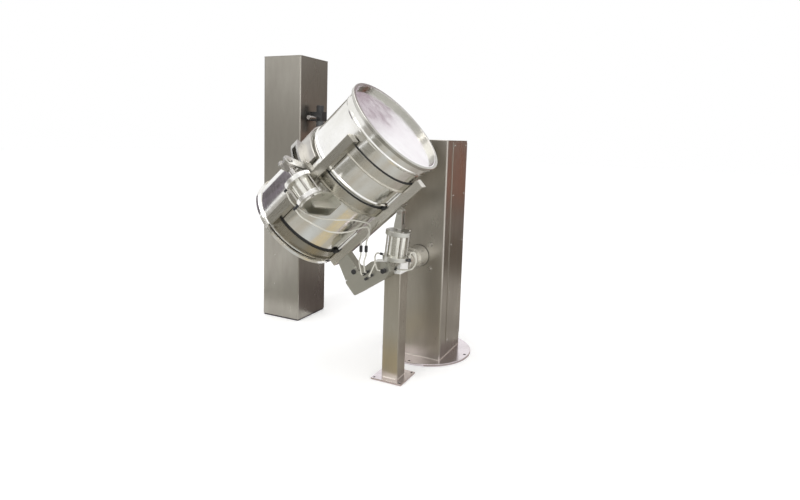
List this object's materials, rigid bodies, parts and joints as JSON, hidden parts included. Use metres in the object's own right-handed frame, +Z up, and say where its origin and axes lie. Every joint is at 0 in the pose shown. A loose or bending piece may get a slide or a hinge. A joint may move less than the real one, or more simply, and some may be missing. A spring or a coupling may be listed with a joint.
{
  "type": "drum mixer",
  "caption": "Drum mixer: an air cylinder clamps a drum in a cradle that tilts on an arm, and the arm swings end over end between a drive column and a post.",
  "frame": {"origin": "on the floor at the centre of the round base plate's anchor circle", "axes": "+Z up, +X along the row of columns away from the tall column, +Y from the drum side to the drive column side"},
  "size_m": [1.643, 1.417, 1.925],
  "materials": {
    "brushed_stainless": "brushed",
    "machined_stainless": "turned",
    "drum_stainless": "polished",
    "cylinder_aluminium": "anodised",
    "black_rubber": "matte",
    "white_plastic": "satin",
    "black_plastic": "satin",
    "clear_plastic": "smoky clear",
    "clear_tube": "translucent"
  },
  "bodies": {
    "base": {"drive_column_shell": "brushed_stainless", "drive_column_cap": "brushed_stainless", "drive_column_cover": "brushed_stainless", "panel_screws": "machined_stainless", "round_base_plate": "machined_stainless", "hub_housing": "machined_stainless", "hub_bolts": "machined_stainless", "support_post": "brushed_stainless", "post_base_plate": "machined_stainless", "bearing_block": "white_plastic", "tall_column_shell": "brushed_stainless", "tall_column_plinth": "brushed_stainless", "tall_column_cap": "brushed_stainless", "service_body": "black_plastic", "service_bowl": "clear_plastic", "shutoff_valve": "machined_stainless"},
    "knob": {"regulator_knob": "black_plastic"},
    "arm": {"main_shaft": "machined_stainless", "shaft_coupling": "machined_stainless", "swing_arm": "brushed_stainless", "pivot_pin": "machined_stainless", "foot_pin": "machined_stainless", "rotary_union": "black_plastic", "arm_fittings": "black_plastic", "arm_tubes": "clear_tube", "tilt_tubes": "clear_tube"},
    "tilt_cylinder": {"tilt_end_caps": "cylinder_aluminium", "tilt_barrel": "cylinder_aluminium", "tilt_tie_rods": "machined_stainless", "tilt_ports": "black_plastic"},
    "tilt_ram": {"tilt_rod": "machined_stainless", "tilt_fork": "brushed_stainless", "link_pin": "machined_stainless"},
    "cradle": {"cradle_knee": "brushed_stainless", "side_rails": "brushed_stainless", "bottom_rail": "brushed_stainless", "top_band": "brushed_stainless", "middle_band": "brushed_stainless", "bottom_band": "brushed_stainless", "rubber_linings": "black_rubber", "wear_strips": "white_plastic", "link_lug": "brushed_stainless", "clamp_mount": "brushed_stainless", "clamp_end_caps": "cylinder_aluminium", "clamp_barrel": "cylinder_aluminium", "clamp_tie_rods": "machined_stainless", "hinge_lugs": "brushed_stainless", "hinge_pin": "machined_stainless", "drum_shell": "drum_stainless", "clamp_ports": "black_plastic", "tube_couplings": "black_plastic", "clamp_tubes": "clear_tube"},
    "clamp_ram": {"clamp_rod": "machined_stainless", "clamp_pin": "machined_stainless"},
    "jaw": {"jaw_lever": "brushed_stainless", "jaw_strap": "brushed_stainless", "jaw_pad": "black_rubber"},
    "lid": {"drum_lid": "drum_stainless", "closing_ring": "drum_stainless"}
  },
  "joints": [
    {"name": "arm_swing", "type": "hinge", "parent": "base", "child": "arm", "pos_m": [0, -0.483, 0.656], "axis": [0, 1, 0], "range_deg": [-55, 120]},
    {"name": "cradle_tilt", "type": "hinge", "parent": "arm", "child": "cradle", "pos_m": [-0.19548, -0.5825, 0.62065], "axis": [0, -1, 0], "range_deg": [0, 8], "deforming": ["arm_tubes", "tilt_tubes"]},
    {"name": "tilt_cylinder_swivel", "type": "hinge", "parent": "arm", "child": "tilt_cylinder", "pos_m": [0.04869, -0.606, 0.69316], "axis": [0, -1, 0], "range_deg": [0, 10.17]},
    {"name": "tilt_rod_slide", "type": "slide", "parent": "tilt_cylinder", "child": "tilt_ram", "axis": [0.1058, 0, 0.9944], "range_m": [0, 0.0339]},
    {"name": "clamp_jaw", "type": "hinge", "parent": "cradle", "child": "jaw", "pos_m": [-0.34796, -0.9145, 1.19707], "axis": [0.7373, 0, 0.6756], "range_deg": [0, 30]},
    {"name": "clamp_rod_slide", "type": "slide", "parent": "cradle", "child": "clamp_ram", "axis": [0.6756, 0, -0.7373], "range_m": [0, 0.04938]},
    {"name": "lid_lift", "type": "slide", "parent": "cradle", "child": "lid", "axis": [0.7373, 0, 0.6756], "range_m": [0, 0.3]},
    {"name": "regulator_turn", "type": "hinge", "parent": "base", "child": "knob", "pos_m": [-0.9625, 0.15, 1.56], "axis": [0, 0, 1], "range_deg": [-150, 150]}
  ],
  "couplings": [
    {"joint": "tilt_cylinder_swivel", "follows": "cradle_tilt", "ratio": 1.2649},
    {"joint": "tilt_rod_slide", "follows": "cradle_tilt", "m_per_rad": 0.24135},
    {"joint": "clamp_rod_slide", "follows": "clamp_jaw", "m_per_rad": 0.09392}
  ]
}
